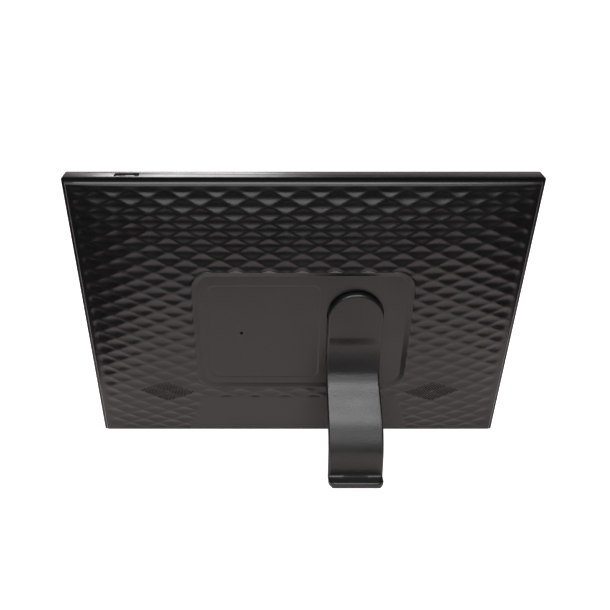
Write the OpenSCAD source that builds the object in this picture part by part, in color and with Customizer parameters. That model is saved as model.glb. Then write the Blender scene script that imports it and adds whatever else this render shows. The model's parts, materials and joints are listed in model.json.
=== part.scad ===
// Ten-inch digital photo frame on a swivelling stand.
// The frame leans back on its lower edge and on the foot of the stand.
// +Z is up, the screen faces -Y, and +X is to the right of someone who faces the screen.
// The housing is drawn in panel space: x across, y out of its back (called v in the names),
// z up along the panel (called h). leaned() sets it in place.

/* [Housing] */
// Overall width of the frame
frame_w = 262; // [252:1:320]
// Overall height of the frame, along the panel
frame_h = 181; // [174:1:220]
// Depth of the flat band round the edge
rim_depth = 8.5; // [8.5:0.1:11]
// Corner radius of the housing
corner_r = 1.2; // [0.8:0.1:3]
// Width of the rim's back face that shows round the rear cover
rim_ledge = 1.8; // [1.2:0.1:2.4]
// Thickness of the bezel's side walls below the cover's seat
bezel_wall = 3.8; // [3.4:0.1:5]
// Depth of the rebate that the rear cover sits in
seat_depth = 1.2; // [0.8:0.1:1.3]
// Clearance round the rear cover's skirt
cover_gap = 0.1; // [0.05:0.05:0.3]

/* [Rear cover] */
// Height of the cover's edge above the rim
cover_step = 3; // [2.5:0.1:5]
// Rise of the crown from the cover's edge to its middle
cover_crown = 10; // [9:0.5:14]
// Radius along the cover's edge
cover_edge_r = 2.5; // [1:0.1:3]
// Wall thickness
wall = 2; // [1.6:0.1:2.5]
// Width of the dish
dish_w = 130; // [110:1:140]
// Height of the dish
dish_h = 83; // [76:1:90]
// Corner radius of the dish
dish_r = 10; // [5:1:14]
// Level of the dish floor above the rim
dish_level = 10.5; // [10:0.1:12]
// Side of the square label recess
label_side = 66.5; // [50:0.5:66.5]
// Depth of the label recess
label_depth = 0.3; // [0.2:0.1:0.5]

/* [Display] */
// Thickness of the touch glass
glass_t = 1.5; // [1.1:0.1:2]
// Width of the plastic lip round the glass
glass_border = 3.5; // [3:0.1:5]
// Clearance round the glass
glass_gap = 0.2; // [0.1:0.05:0.4]
// Width of the display module
lcd_w = 229.5; // [215:0.5:231]
// Height of the display module
lcd_h = 149.1; // [140:0.1:152]
// Thickness of the liquid crystal panel
lcd_t = 1.2; // [1:0.1:1.4]
// Thickness of the backlight unit
backlight_t = 2.2; // [1.8:0.1:2.4]

/* [Stand] */
// Backward lean of the frame in degrees
lean = 14; // [10:0.5:18]
// Distance of the swivel from the lower edge and from the left edge
pivot_inset = 99; // [92:0.5:103]
// Radius of the disc
disc_r = 16.2; // [14:0.1:18]
// Height of the disc's face above the dish floor
disc_proud = 4.3; // [3.5:0.1:6]
// Radius of the hub that turns in the cover
hub_r = 7; // [6:0.1:8]
// Radial running clearance of the hub
hub_gap = 0.05; // [0.02:0.01:0.1]
// Thickness of the arm
arm_t = 4; // [3:0.1:5]
// Distance of the foot's tip behind the frame's lower edge
foot_reach = 72; // [66:0.5:80]
// Length of the foot's lip
foot_lip = 8; // [6:0.5:12]
// Thickness of the foot's lip
foot_t = 4; // [3:0.1:5]
// Turn of the stand from landscape to portrait in degrees
stand_turn = 90; // [60:1:90]

/* [Buttons] */
// Distance of the power button from the right edge
button_inset = 35; // [30:0.5:50]
// Length of the power button
button_l = 8.5; // [7:0.1:10]
// Width of the power button
button_w = 2.4; // [2:0.1:2.6]
// Clearance round the power button
button_gap = 0.1; // [0.05:0.05:0.2]
// Travel of the power button
button_travel = 0.4; // [0.2:0.05:0.5]
// Radius of the pinhole over the reset switch
pinhole_r = 1.1; // [0.8:0.1:1.5]

/* [Electronics] */
// Width of the main board
board_w = 98.8; // [96:0.1:104]
// Height of the main board
board_h = 76; // [74:1:90]
// Thickness of the main board
board_t = 1.6; // [1.2:0.1:1.7]
// Distance of each speaker from its side edge
speaker_inset = 46.8; // [44:0.1:52]
// Height of the speakers above the lower edge
speaker_up = 40.6; // [38:0.1:46]
// Length of a speaker
speaker_l = 36; // [30:1:38]
// Height of a speaker
speaker_h = 20; // [16:1:22]
// Length of the power inlet's mouth
inlet_l = 8.94; // [8.5:0.01:9.5]
// Height of the power inlet
inlet_h = 3.2; // [3:0.1:3.2]

/* [Pads] */
// Length of a base pad
pad_l = 40; // [20:1:60]
// Width of a base pad
pad_w = 4.7; // [3:0.1:5]
// Thickness of the rubber pads
pad_t = 1; // [0.8:0.1:1.5]
// How far the rubber pads stand out of their pockets
pad_out = 0.5; // [0.3:0.1:0.6]

/* [Hidden] */
$fn = 64;

plastic = "#1d1d1f";
rubber = "#2a2a2a";
steel = "#b4b8bc";
circuit = "#1f5c3a";
cut = 1;
loose = 0.3;
face_gap = 0.05;

// Levels across the panel, from the front to the back
v_front = -rim_depth;
v_glass = v_front + 0.2;
v_ring = v_glass + glass_t;
v_backlight = v_ring + lcd_t;
v_bracket = v_backlight + backlight_t;
bracket_t = 0.8;
v_seat = -seat_depth;
board_gap = 2;
v_board = v_bracket + board_gap;
v_board_back = v_board + board_t;
v_inside = dish_level - wall;

// Pads and places
v_pad = -0.8 - pad_w;
pad_x = frame_w / 2 - 41;
base_z = pad_out * cos(lean) + (v_pad + pad_w) * sin(lean);
base_y = -(foot_reach - rim_depth * cos(lean)) / 2;

// Outlines
mid_h = frame_h / 2;
glass_w = frame_w - 2 * (glass_border + glass_gap);
glass_h = frame_h - 2 * (glass_border + glass_gap);
lcd_gap = 0.75;
cavity_w = frame_w - 2 * bezel_wall;
cavity_h = frame_h - 2 * bezel_wall;
cover_w = frame_w - 2 * (rim_ledge + cover_gap);
cover_h = frame_h - 2 * (rim_ledge + cover_gap);
across_power = 3.5;
up_power = 2.8;
profile_steps = 12;

hook_rise = 62;
hook_spread = 70;
hook_l = 8;
hook_stem_t = 1.2;
hook_play = 0.25;

// Swivel
pivot_x = pivot_inset - frame_w / 2;
pivot_h = pivot_inset;
dish_side = 33;
dish_drop = 12;
dish_x = pivot_x + dish_w / 2 - dish_side;
dish_mid_h = pivot_h - dish_drop;
label_x = dish_x + 22;
label_mid_h = dish_mid_h - 1;
moat_r = disc_r + 0.6;
moat_depth = 1;
v_moat = dish_level - moat_depth;
boss_t = 3;
v_boss = v_moat - boss_t;
boss_r = 19;
v_disc = v_moat + loose;
v_face = dish_level + disc_proud;
disc_edge_r = 1.2;
v_hub = v_boss - loose;
retainer_t = 1.2;
v_retainer = v_hub - retainer_t;
retainer_r = 10.5;
lug_w = 6;
lug_reach = 13.2;
stop_r = 1.2;
stop_ring = 12.2;
stop_angle = asin((lug_w / 2 + stop_r + loose) / stop_ring);
hub_screw_ring = 4;

// Screws
screw_r = 0.8;
pilot_r = 0.85;
screw_hole_r = 1.1;
screw_head_r = 1.9;
screw_head_t = 0.8;

// Display brackets
bracket_l = 16.4;
bracket_h = 12;
bracket_x = lcd_w / 2 + 0.2;
bracket_screw_x = lcd_w / 2 + 4.2;
bracket_rise = lcd_h / 2 - 14.5;
boss_small_r = 2.6;

// Main board
board_right = cavity_w / 2 - 0.4;
board_left = board_right - board_w;
board_low = mid_h - 18.5;
board_top = board_low + board_h;
board_xs = [board_left + 5, board_right - 10.8];
board_hs = [board_low + 5, board_top - 5];
reset_x = board_left + 7.6;
reset_h = board_low + 14;
reset_size = 6;
reset_body_t = 3.5;
reset_plunger_r = 1.75;
reset_travel = 0.3;
inlet_depth = 8;
inlet_x = frame_w / 2 - 1;
inlet_mid_h = board_low + 52;
card_l = 14;
card_w = 14;
card_t = 1.9;
card_mid_h = board_low + 28;
card_slot_w = 11.8;
card_slot_t = 1.2;
can_size = [40, 32, 3.2];
can_wall = 0.3;
can_x = board_left + 32;
can_h = board_low + 26;
chip_t = 1.2;
plug_t = 1.6;

// Power button
button_x = frame_w / 2 - button_inset;
button_v = v_board - 2.25;
scoop_l = 13.6;
scoop_w = 4.6;
scoop_depth = 0.8;
button_top = frame_h - scoop_depth + 0.2;
flange_top = frame_h - bezel_wall - loose;
flange_t = 1;
flange_low = flange_top - flange_t;
plunger_r = 0.95;
plunger_l = 4;
switch_bore = 1.1 + button_travel;
switch_size = [6, 2.5, 4];
switch_top = flange_low - 3.3;
button_board_t = 1;
v_button_board = button_v + switch_size[1] / 2;
button_board_low = switch_top - 9.6;
button_board_top = switch_top;
button_board_half = 10;
button_screw_off = 7.5;
button_screw_h = switch_top - 3;

// Speakers
speaker_x = frame_w / 2 - speaker_inset;
speaker_t = 5;
gasket_t = 0.6;
v_speaker_seat = 5.8;
v_speaker_top = v_speaker_seat - gasket_t;
seat_wall = 2;
ear_r = 3;
ear_t = 1;
ear_off = speaker_h / 2 + 3.7;
cone_t = 1.2;
grille_pitch = 3.1;
grille_hole_r = 0.6;
grille_half = 17.5;
grille_rise = 8.9;

// Ribbons and wires
ribbon_t = 0.2;
touch_x = board_left + 40;
touch_h = mid_h - lcd_h / 2 - 5;
display_ribbon_x = board_left + 68;
ribbon_plug_h = board_low + 4;
wire_r = 0.6;
antenna_x = -70;
antenna_w = 40;
antenna_h = frame_h - 24;
wifi_size = [12, 12.3, 1.8];
wifi_x = board_left + 10;
wifi_h = board_top - 20;

// Stand's curve between the face of the disc and the top of the foot's lip, in the upright plane
face_end = to_upright([v_face, pivot_h - 13]);
lip_top = [foot_reach - foot_lip, foot_t];
// Bends as [share of the way out, share of the way down]
arm_bends = [[-0.1, 0.1], [-0.1, 0.24], [0, 0.37], [0.37, 0.49], [0.77, 0.62], [0.98, 0.78], [1, 0.92]];
arm_clear = 0.5;
dish_reach = dish_side - 5;

speaker_plug_xs = [board_left + 18, board_left + 54];
speaker_plug_h = board_low + 12;
v_antenna = crown(antenna_h + 4 - mid_h, cover_h / 2 - wall, up_power, wall) - 0.7;

// Turns a point [v, h] of the panel into [distance behind the lower edge, height], and back.
function to_upright(p) = [p[0] * cos(lean) + p[1] * sin(lean), p[1] * cos(lean) - p[0] * sin(lean) + base_z];
function to_panel(p) = [
  p[0] * cos(lean) - (p[1] - base_z) * sin(lean),
  p[0] * sin(lean) + (p[1] - base_z) * cos(lean)
];

// Moves a piece from panel space to its leaning place on the surface.
module leaned() {
  translate([0, base_y, base_z]) rotate([-lean, 0, 0]) children();
}

// Extrudes an outline in x and h from one level to another.
module plate(v0, v1) {
  translate([0, v1, 0]) rotate([90, 0, 0]) linear_extrude(v1 - v0) children();
}

// Extrudes an outline in v and h across the panel.
module along_x(x0, x1) {
  translate([x0, 0, 0]) rotate([90, 0, 90]) linear_extrude(x1 - x0) children();
}

// A round post or hole square to the panel.
module rod(x, h, v0, v1, r) {
  translate([x, v1, h]) rotate([90, 0, 0]) cylinder(h = v1 - v0, r = r);
}

// A block from its low and high corner.
module block(low, high) {
  translate(low) cube(high - low);
}

module rounded(w, h, r) {
  square([w - 2 * r, h], center = true);
  square([w, h - 2 * r], center = true);
  for (sx = [-1, 1], sy = [-1, 1]) translate([sx * (w / 2 - r), sy * (h / 2 - r)]) circle(r);
}

module mid_plate(v0, v1, w, h, r) {
  plate(v0, v1) translate([0, mid_h]) rounded(w, h, r);
}

// A screw with its head towards the front and its shank towards the back, or the other way round.
module screw(x, h, v_head, v_tip) {
  back = v_tip > v_head ? 1 : -1;
  v_under = v_head + back * screw_head_t;
  rod(x, h, min(v_head, v_under), max(v_head, v_under), screw_head_r);
  rod(x, h, min(v_under, v_tip), max(v_under, v_tip), screw_r);
}

// A round wire through a list of points [x, v, h].
module wire(route, r) {
  sides = 8;
  last = len(route) - 1;
  rings = [for (i = [0:last])
    let (t = route[min(i + 1, last)] - route[max(i - 1, 0)])
    let (side = cross(t, [0, 1, 0]) / norm(cross(t, [0, 1, 0])))
    let (up = cross(side, t) / norm(t))
    [for (k = [0:sides - 1]) route[i] + r * (cos(k * 360 / sides) * side + sin(k * 360 / sides) * up)]
  ];
  walls = [for (i = [0:last - 1], k = [0:sides - 1])
    let (a = i * sides + k, b = i * sides + (k + 1) % sides)
    [a, a + sides, b + sides, b]
  ];
  ends = [
    [for (k = [0:sides - 1]) k],
    [for (k = [sides - 1:-1:0]) last * sides + k]
  ];
  polyhedron([for (ring = rings, p = ring) p], concat(walls, ends));
}

// A smooth line through points, with a few steps between each pair.
function smooth(p, steps) = [
  for (i = [0:len(p) - 2], s = [0:steps - 1])
    let (a = p[max(i - 1, 0)], b = p[i], c = p[i + 1], d = p[min(i + 2, len(p) - 1)], t = s / steps)
    let (bend = t * t * (2 * a - 5 * b + 4 * c - d), twist = t * t * t * (3 * b - a - 3 * c + d))
    0.5 * (2 * b + t * (c - a) + bend + twist),
  p[len(p) - 1]
];

// Height of the crowned cover at a distance t from its middle line.
function crown(t, half, power, inset) =
  let (edge = max(cover_edge_r - inset, 0.5), short = max(0, edge - (half - abs(t))))
  let (rise = cover_step + cover_crown * (1 - pow(abs(t) / half, power)))
  rise - inset - edge + sqrt(edge * edge - short * short);

function crown_points(half, power, inset) = [
  for (i = [-profile_steps:profile_steps])
    let (t = half * sin(90 * i / profile_steps))
    [t, crown(t, half, power, inset)]
];

// The crowned cover's solid form, shrunk by an inset on every side.
module crowned(inset, v0, v1) {
  half_w = cover_w / 2 - inset;
  half_h = cover_h / 2 - inset;
  intersection() {
    mid_plate(v0, v1, 2 * half_w, 2 * half_h, max(corner_r - inset, 0.4));
    linear_extrude(frame_h)
      polygon(concat([[-half_w, v0 - cut]], crown_points(half_w, across_power, inset), [[half_w, v0 - cut]]));
    along_x(-frame_w / 2, frame_w / 2) translate([0, mid_h])
      polygon(concat(
        [[v0 - cut, -half_h]],
        [for (p = crown_points(half_h, up_power, inset)) [p[1], p[0]]],
        [[v0 - cut, half_h]]
      ));
  }
}

// Puts a snap hook's children at each of its places, with x outwards and z along the edge.
module at_hooks() {
  for (side = [-1, 1]) {
    for (rise = [-hook_rise, hook_rise])
      translate([side * cavity_w / 2, 0, mid_h + rise]) rotate([0, side < 0 ? 180 : 0, 0]) children();
    for (x = [-hook_spread, 0, hook_spread])
      translate([x, 0, mid_h + side * cavity_h / 2]) rotate([0, -side * 90, 0]) children();
  }
}

// A snap hook on the cover; a gap makes the pocket that it clips into.
module hook_nub(gap) {
  nub = [hook_play + 0.4 + gap, 0.8 + 2 * gap, hook_l + 2 * gap];
  translate([-hook_play, v_seat - 3 - gap, -nub[2] / 2]) cube(nub);
}

module hook() {
  root = hook_stem_t + hook_play + bezel_wall - rim_ledge - wall + 0.5;
  translate([-hook_play - hook_stem_t, v_seat - 3.2, -hook_l / 2]) cube([hook_stem_t, 4.4, hook_l]);
  translate([-hook_play - hook_stem_t, v_seat + 0.1, -hook_l / 2]) cube([root, 1.1, hook_l]);
  hook_nub(0);
}

module button_hole(l, w, low) {
  block([button_x - l / 2, button_v - w / 2, low], [button_x + l / 2, button_v + w / 2, frame_h + cut]);
}

module front_bezel() {
  color(plastic) leaned() difference() {
    union() {
      difference() {
        mid_plate(v_front, 0, frame_w, frame_h, corner_r);
        mid_plate(v_front - cut, v_ring, glass_w + 2 * glass_gap, glass_h + 2 * glass_gap, corner_r);
        mid_plate(v_ring - cut, v_backlight, lcd_w + 2 * lcd_gap, lcd_h + 2 * lcd_gap, corner_r);
        mid_plate(v_backlight, v_seat, cavity_w, cavity_h, corner_r);
        mid_plate(v_seat - cut, cut, cover_w + 2 * cover_gap, cover_h + 2 * cover_gap, corner_r);
      }
      for (sx = [-1, 1], sh = [-1, 1])
        rod(sx * bracket_screw_x, mid_h + sh * bracket_rise, v_ring, v_bracket, boss_small_r);
      for (sx = [-1, 1])
        rod(button_x + sx * button_screw_off, button_screw_h, v_ring, v_button_board, boss_small_r);
    }
    for (sx = [-1, 1], sh = [-1, 1])
      rod(sx * bracket_screw_x, mid_h + sh * bracket_rise, v_ring + 0.3, v_bracket + cut, pilot_r);
    for (sx = [-1, 1])
      rod(button_x + sx * button_screw_off, button_screw_h, v_ring + 0.3, v_button_board + cut, pilot_r);
    // Slot and scoop of the power button
    button_hole(scoop_l, scoop_w, frame_h - scoop_depth);
    button_hole(button_l + 2 * button_gap, button_w + 2 * button_gap, frame_h - bezel_wall - cut);
    // Mouths of the power inlet and of the card slot
    block([inlet_x - inlet_depth, v_board - inlet_h - 0.2, inlet_mid_h - inlet_l / 2 - 0.2],
      [frame_w / 2 + cut, v_seat + cut, inlet_mid_h + inlet_l / 2 + 0.2]);
    block([cavity_w / 2 - cut, v_board - card_t / 2 - card_slot_t / 2, card_mid_h - card_slot_w / 2],
      [frame_w / 2 + cut, v_board - card_t / 2 + card_slot_t / 2, card_mid_h + card_slot_w / 2]);
    // Slot for the touch ribbon
    block([touch_x - 9, v_ring - cut, touch_h - 0.6], [touch_x + 9, v_backlight + cut, touch_h + 0.8]);
    for (sx = [-1, 1])
      block([sx * pad_x - pad_l / 2, v_pad, -cut], [sx * pad_x + pad_l / 2, v_pad + pad_w, pad_t - pad_out]);
    at_hooks() hook_nub(0.2);
  }
}

module touch_glass() {
  color("#101216") leaned() mid_plate(v_glass, v_ring, glass_w, glass_h, corner_r - 0.4);
}

module lcd_panel() {
  color("#23262b") leaned() mid_plate(v_ring, v_backlight, lcd_w, lcd_h, 0.5);
}

module backlight_unit() {
  color(steel) leaned() mid_plate(v_backlight, v_bracket, lcd_w, lcd_h, 0.5);
}

module display_brackets() {
  color(steel) leaned() for (sx = [-1, 1], sh = [-1, 1]) difference() {
    plate(v_bracket, v_bracket + bracket_t) translate([sx * bracket_x, mid_h + sh * bracket_rise])
      rounded(bracket_l, bracket_h, 2);
    rod(sx * bracket_screw_x, mid_h + sh * bracket_rise, v_bracket - cut, v_board, screw_hole_r);
  }
}

module bracket_screws() {
  color(steel) leaned() for (sx = [-1, 1], sh = [-1, 1])
    screw(sx * bracket_screw_x, mid_h + sh * bracket_rise,
      v_bracket + bracket_t + screw_head_t, v_ring + 0.5);
}

// Quilt-shaped field of sound holes in front of one speaker.
module grille(side) {
  count = floor(grille_half / grille_pitch);
  for (i = [-count:count], j = [-count:count]) {
    x = i * grille_pitch;
    h = j * grille_pitch;
    if (abs(x) / grille_half + abs(h) / grille_rise < 0.95)
      rod(side * speaker_x + x, speaker_up + h, v_speaker_seat - cut, v_face, grille_hole_r);
  }
}

// Everything that stands on the cover's inner wall, before it is trimmed to the cover's outside.
module cover_posts() {
  rod(pivot_x, pivot_h, v_boss, v_moat, boss_r);
  for (x = board_xs, h = board_hs) rod(x, h, v_board_back, v_inside + 1, boss_small_r);
  for (side = [-1, 1]) {
    plate(v_speaker_seat, v_inside + 1) translate([side * speaker_x, speaker_up]) difference() {
      square([speaker_l + seat_wall, speaker_h + seat_wall], center = true);
      square([speaker_l - seat_wall, speaker_h - seat_wall], center = true);
    }
    for (rise = [-ear_off, ear_off])
      rod(side * speaker_x, speaker_up + rise, v_speaker_top, v_inside + 1, boss_small_r);
  }
}

module rear_cover() {
  color(plastic) leaned() difference() {
    union() {
      difference() {
        crowned(0, v_seat, v_face);
        crowned(wall, v_seat - cut, v_inside);
      }
      intersection() {
        crowned(wall / 2, v_seat, v_face);
        cover_posts();
      }
      for (angle = [-stop_angle, stand_turn + stop_angle])
        swivel_stop(angle);
      at_hooks() hook();
    }
    plate(dish_level, v_face) translate([dish_x, dish_mid_h]) rounded(dish_w, dish_h, dish_r);
    plate(dish_level - label_depth, v_face) translate([label_x, label_mid_h])
      rounded(label_side, label_side, 5);
    rod(pivot_x, pivot_h, v_moat, v_face, moat_r);
    rod(pivot_x, pivot_h, v_boss - cut, v_face, hub_r + hub_gap);
    rod(reset_x, reset_h, 0, v_face, pinhole_r);
    for (x = board_xs, h = board_hs) rod(x, h, v_board_back - cut, v_board_back + 2.4, pilot_r);
    for (side = [-1, 1]) {
      grille(side);
      for (rise = [-ear_off, ear_off])
        rod(side * speaker_x, speaker_up + rise, v_speaker_top - cut, v_speaker_top + 2.2, pilot_r);
    }
  }
}

// A post that the retainer's lug meets at one end of its turn, at an angle from straight up.
module swivel_stop(angle) {
  rod(pivot_x + stop_ring * sin(angle), pivot_h + stop_ring * cos(angle),
    v_retainer - loose, v_boss + cut / 2, stop_r);
}

module main_board() {
  color(circuit) leaned() difference() {
    plate(v_board, v_board_back) translate([board_left + board_w / 2, board_low + board_h / 2])
      rounded(board_w, board_h, 1);
    for (x = board_xs, h = board_hs) rod(x, h, v_board - cut, v_board_back + cut, screw_hole_r);
  }
}

module board_screws() {
  color(steel) leaned() for (x = board_xs, h = board_hs)
    screw(x, h, v_board - screw_head_t, v_board_back + 2.2);
}

// A chip lying on the back of the main board.
module chip(x, h, size, low, t) {
  block([x - size / 2, low, h - size / 2], [x + size / 2, low + t, h + size / 2]);
}

module processor() {
  color("#26282b") leaned() chip(can_x + 12, can_h + can_size[1] / 2, 15, v_board_back, chip_t);
}

module memory_chips() {
  color("#26282b") leaned() for (rise = [9, 23])
    chip(can_x + 31, can_h + rise, 11, v_board_back, chip_t);
}

module thermal_pad() {
  top = v_board_back + can_size[2] - can_wall;
  color("#8fa3b8") leaned()
    chip(can_x + 12, can_h + can_size[1] / 2, 13, v_board_back + chip_t, top - v_board_back - chip_t);
}

module shield_can() {
  low = [can_x, v_board_back, can_h];
  high = low + [can_size[0], can_size[2], can_size[1]];
  color(steel) leaned() difference() {
    block(low, high);
    block(low + [can_wall, -cut, can_wall], high - [can_wall, can_wall, can_wall]);
  }
}

module wifi_module() {
  color(steel) leaned() block([wifi_x, v_board_back, wifi_h],
    [wifi_x + wifi_size[0], v_board_back + wifi_size[2], wifi_h + wifi_size[1]]);
}

module wifi_antenna() {
  color("#c8a24a") leaned() block([antenna_x - antenna_w / 2, v_antenna, antenna_h - 4],
    [antenna_x + antenna_w / 2, v_antenna + 0.6, antenna_h + 4]);
}

module antenna_cable() {
  start = [wifi_x + 3, v_board_back + wifi_size[2] + wire_r, wifi_h + 8];
  finish = [antenna_x + antenna_w / 2 - 2, v_antenna - wire_r, antenna_h];
  color("#303030") leaned() wire(smooth([
    start, start + [-10, 0.3, -2], [start[0] - 28, 3, antenna_h - 7],
    [finish[0] + 14, 3, antenna_h - 1], finish
  ], 4), wire_r);
}

module wire_plug(x, h) {
  block([x - 3, v_board_back, h], [x + 3, v_board_back + 2.5, h + 4]);
}

module board_connectors() {
  color("#e8e4d8") leaned() {
    for (x = [touch_x, display_ribbon_x])
      block([x - 10, v_board_back, ribbon_plug_h], [x + 10, v_board_back + plug_t, ribbon_plug_h + 4]);
    for (x = speaker_plug_xs)
      wire_plug(x, speaker_plug_h);
    wire_plug(button_x - 9, board_top - 6);
  }
}

// Last points of a ribbon, which goes round the board's lower edge into its plug.
function ribbon_end(v_low) =
  let (v_plug = v_board_back + 0.6)
  [[v_low, ribbon_plug_h - 9], [v_plug, ribbon_plug_h - 5.5], [v_plug, ribbon_plug_h]];

// A flat ribbon of a width, along points [v, h].
module ribbon(x, width, route) {
  back = [for (p = route) p + [ribbon_t, 0]];
  along_x(x - width / 2, x + width / 2)
    polygon(concat(route, [for (i = [len(back) - 1:-1:0]) back[i]]));
}

module display_ribbon() {
  color("#b9822e") leaned()
    ribbon(display_ribbon_x, 18, concat([[v_bracket, mid_h - lcd_h / 2 + 4]], ribbon_end(v_bracket)));
}

module touch_ribbon() {
  v_low = v_bracket + 0.1;
  color("#b9822e") leaned() {
    block([touch_x - 8, v_ring, touch_h], [touch_x + 8, v_low + ribbon_t, touch_h + ribbon_t]);
    ribbon(touch_x, 16, concat([[v_low, touch_h]], ribbon_end(v_low)));
  }
}

module speaker(side) {
  color("#2b2b2d") leaned() difference() {
    plate(v_speaker_top - speaker_t, v_speaker_top) translate([side * speaker_x, speaker_up])
      rounded(speaker_l, speaker_h, 5);
    plate(v_speaker_top - cone_t, v_speaker_top + cut) translate([side * speaker_x, speaker_up])
      rounded(speaker_l - 5, speaker_h - 5, 4);
  }
  color("#2b2b2d") leaned() difference() {
    plate(v_speaker_top - ear_t, v_speaker_top) translate([side * speaker_x, speaker_up])
      for (rise = [-1, 1]) {
        translate([0, rise * ear_off]) circle(ear_r);
        translate([0, rise * (ear_off + speaker_h / 2 - 0.5) / 2])
          square([2 * ear_r, ear_off - speaker_h / 2 + 0.5], center = true);
      }
    for (rise = [-ear_off, ear_off])
      rod(side * speaker_x, speaker_up + rise, v_speaker_top - speaker_t, v_speaker_top + cut, screw_hole_r);
  }
}

module speaker_left() {
  speaker(-1);
}

module speaker_right() {
  speaker(1);
}

module speaker_cones() {
  color("#101010") leaned() for (side = [-1, 1]) plate(v_speaker_top - cone_t, v_speaker_top - 0.4)
    translate([side * speaker_x, speaker_up]) rounded(speaker_l - 5.2, speaker_h - 5.2, 3.9);
}

module speaker_gaskets() {
  color(rubber) leaned() for (side = [-1, 1]) plate(v_speaker_top, v_speaker_seat)
    translate([side * speaker_x, speaker_up]) difference() {
      rounded(speaker_l, speaker_h, 5);
      rounded(speaker_l - 4, speaker_h - 4, 4);
    }
}

module speaker_screws() {
  color(steel) leaned() for (side = [-1, 1], rise = [-ear_off, ear_off])
    screw(side * speaker_x, speaker_up + rise, v_speaker_top - ear_t - screw_head_t, v_speaker_top + 2);
}

module speaker_wires() {
  v_low = v_speaker_top - speaker_t + 1;
  v_plug = v_board_back + 1.2;
  h_edge = speaker_up + speaker_h / 2 + wire_r;
  color("#8a2020") leaned() for (side = [-1, 1]) {
    start = [side * (speaker_x - 8), v_low, h_edge];
    plug = [speaker_plug_xs[side < 0 ? 0 : 1], v_plug, speaker_plug_h - wire_r];
    wire(smooth([start, start + [0, 0, 4], [(start[0] + plug[0]) / 2, v_low, h_edge + 8],
      plug + [0, 0, -9], plug], 4), wire_r);
  }
}

module button_board() {
  color(circuit) leaned() difference() {
    block([button_x - button_board_half, v_button_board, button_board_low],
      [button_x + button_board_half, v_button_board + button_board_t, button_board_top]);
    for (sx = [-1, 1])
      rod(button_x + sx * button_screw_off, button_screw_h, v_button_board - cut, 0, screw_hole_r);
  }
}

module button_board_screws() {
  color(steel) leaned() for (sx = [-1, 1])
    screw(button_x + sx * button_screw_off, button_screw_h,
      v_button_board + button_board_t + screw_head_t, v_ring + 0.5);
}

module button_wires() {
  v_low = v_button_board + button_board_t + wire_r;
  plug = [button_x - 9, v_board_back + 1.2, board_top - 2 + wire_r / 2];
  color("#8a2020") leaned() wire(smooth([
    [button_x, v_low, button_board_low + 3], [button_x - 2, v_low, button_board_low - 1],
    [button_x - 6, 0, (button_board_low + board_top) / 2], plug + [0, 0, 4], plug
  ], 4), wire_r);
}

module power_switch() {
  color("#3a3a3c") leaned() difference() {
    block([button_x - switch_size[0] / 2, v_button_board - switch_size[1], switch_top - switch_size[2]],
      [button_x + switch_size[0] / 2, v_button_board, switch_top]);
    translate([button_x, button_v, switch_top - switch_bore])
      cylinder(h = switch_bore + cut, r = plunger_r + button_gap / 2);
  }
}

module power_plunger() {
  color("#d8d4c8") leaned() translate([button_x, button_v, flange_low - plunger_l])
    cylinder(h = plunger_l, r = plunger_r);
}

module power_button() {
  color(plastic) leaned() {
    block([button_x - button_l / 2, button_v - button_w / 2, flange_low],
      [button_x + button_l / 2, button_v + button_w / 2, button_top]);
    block([button_x - button_l / 2 - 1.5, button_v - button_w / 2 - 0.4, flange_low],
      [button_x + button_l / 2 + 1.5, button_v + button_w / 2 + 0.4, flange_top]);
  }
}

module reset_switch() {
  color("#3a3a3c") leaned() difference() {
    chip(reset_x, reset_h, reset_size, v_board_back, reset_body_t);
    rod(reset_x, reset_h, v_board_back + 1.8, v_board_back + reset_body_t + cut, reset_plunger_r + face_gap);
  }
}

module reset_plunger() {
  color("#d8d4c8") leaned()
    rod(reset_x, reset_h, v_board_back + 1.8 + reset_travel + 0.1, v_inside - loose, reset_plunger_r);
}

module power_inlet() {
  v_mid = v_board - inlet_h / 2;
  skin = 0.35;
  color(steel) leaned() {
    difference() {
      along_x(inlet_x - inlet_depth, inlet_x) translate([v_mid, inlet_mid_h]) rounded(inlet_h, inlet_l, 1.2);
      along_x(inlet_x - inlet_depth + 1, inlet_x + cut) translate([v_mid, inlet_mid_h])
        rounded(inlet_h - 2 * skin, inlet_l - 2 * skin, 1.2 - skin);
    }
    along_x(inlet_x - inlet_depth + 0.5, inlet_x - 1) translate([v_mid, inlet_mid_h])
      square([0.7, inlet_l - 2.4], center = true);
  }
}

module card_socket() {
  x = cavity_w / 2 - 0.2;
  skin = 0.3;
  color(steel) leaned() difference() {
    block([x - card_l, v_board - card_t, card_mid_h - card_w / 2], [x, v_board, card_mid_h + card_w / 2]);
    block([x - card_l + 1, v_board - card_t + skin, card_mid_h - card_w / 2 + 1],
      [x + cut, v_board - skin, card_mid_h + card_w / 2 - 1]);
  }
}

// Outline of the arm: its outer curve, and the inner one that stays clear of the cover.
function bend_point(share) = face_end + [
  share[0] * (lip_top[0] - face_end[0]),
  share[1] * (lip_top[1] - face_end[1])
];
function arm_line() = smooth(concat(
  [face_end + [0.8, 3.2], face_end], [for (share = arm_bends) bend_point(share)], [lip_top]
), 5);
function clear_level(h) =
  pivot_h - h < dish_reach ? dish_level + arm_clear : cover_step + cover_crown - 0.5 + arm_clear;
function inner_point(line, i) =
  let (ahead = line[min(i + 1, len(line) - 1)], behind = line[max(i - 1, 0)])
  let (t = (ahead - behind) / norm(ahead - behind))
  let (p = to_panel(line[i] + arm_t * [t[1], -t[0]]))
  [max(p[0], clear_level(p[1])), p[1]];

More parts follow.
